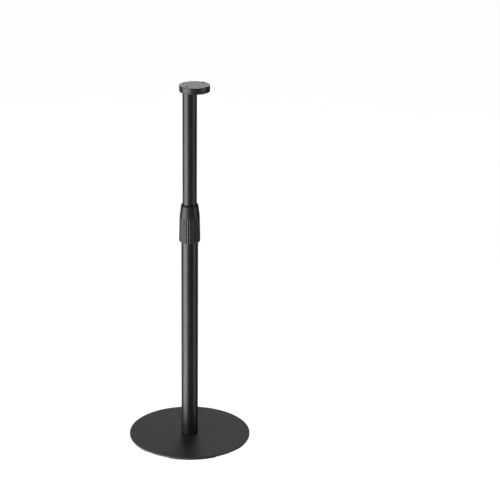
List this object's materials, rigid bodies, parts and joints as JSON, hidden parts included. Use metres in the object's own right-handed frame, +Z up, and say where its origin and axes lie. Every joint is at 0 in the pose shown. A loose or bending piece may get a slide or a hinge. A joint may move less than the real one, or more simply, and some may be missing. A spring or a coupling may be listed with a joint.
{
  "type": "height-adjustable speaker stand",
  "caption": "Floor stand for a small speaker: round flat base, two-stage round column with a fluted twist-lock collar, and an off-centre round head plate.",
  "frame": {"origin": "on the floor, at the centre of the round base and on the column's axis", "axes": "+Z up along the column, +Y from the column towards the centre of the head plate"},
  "size_m": [0.28, 0.28, 0.836],
  "materials": {
    "black_powder_coat": "satin powder coat",
    "black_textured_coat": "fine-textured powder coat",
    "black_rubber": "matt",
    "black_moulded_plastic": "fine satin",
    "black_satin_plastic": "smooth satin",
    "acetal": "satin, natural colour",
    "plain_steel": "turned",
    "aluminium": "plain",
    "black_screw_steel": "black oxide"
  },
  "bodies": {
    "stand_base": {"base_plate": "black_textured_coat", "foot_pads": "black_rubber", "tube_foot_plug": "plain_steel", "base_screws": "black_screw_steel", "lower_tube": "black_powder_coat", "clamp_sleeve": "acetal", "sleeve_pins": "plain_steel"},
    "twist_collar": {"locking_collar": "black_moulded_plastic", "wedge_ring": "acetal", "wiper_ring": "black_rubber"},
    "clutch": {"collet": "acetal"},
    "upper_column": {"upper_tube": "black_powder_coat", "guide_bush": "acetal", "bush_rivets": "aluminium", "tube_top_plug": "plain_steel", "plug_pin": "plain_steel", "head_body": "black_satin_plastic", "speaker_screw_bush": "black_screw_steel", "head_cover": "black_satin_plastic", "head_cover_screws": "black_screw_steel", "head_fixing_screw": "black_screw_steel"}
  },
  "joints": [
    {"name": "collar_twist", "type": "hinge", "parent": "stand_base", "child": "twist_collar", "pos_m": [0, 0, 0.52], "axis": [0, 0, 1], "range_deg": [0, 120]},
    {"name": "column_swivel", "type": "hinge", "parent": "stand_base", "child": "clutch", "pos_m": [0, 0, 0.543], "axis": [0, 0, 1], "continuous": true},
    {"name": "column_slide", "type": "slide", "parent": "clutch", "child": "upper_column", "axis": [0, 0, 1], "range_m": [-0.25, 0.18]}
  ]
}
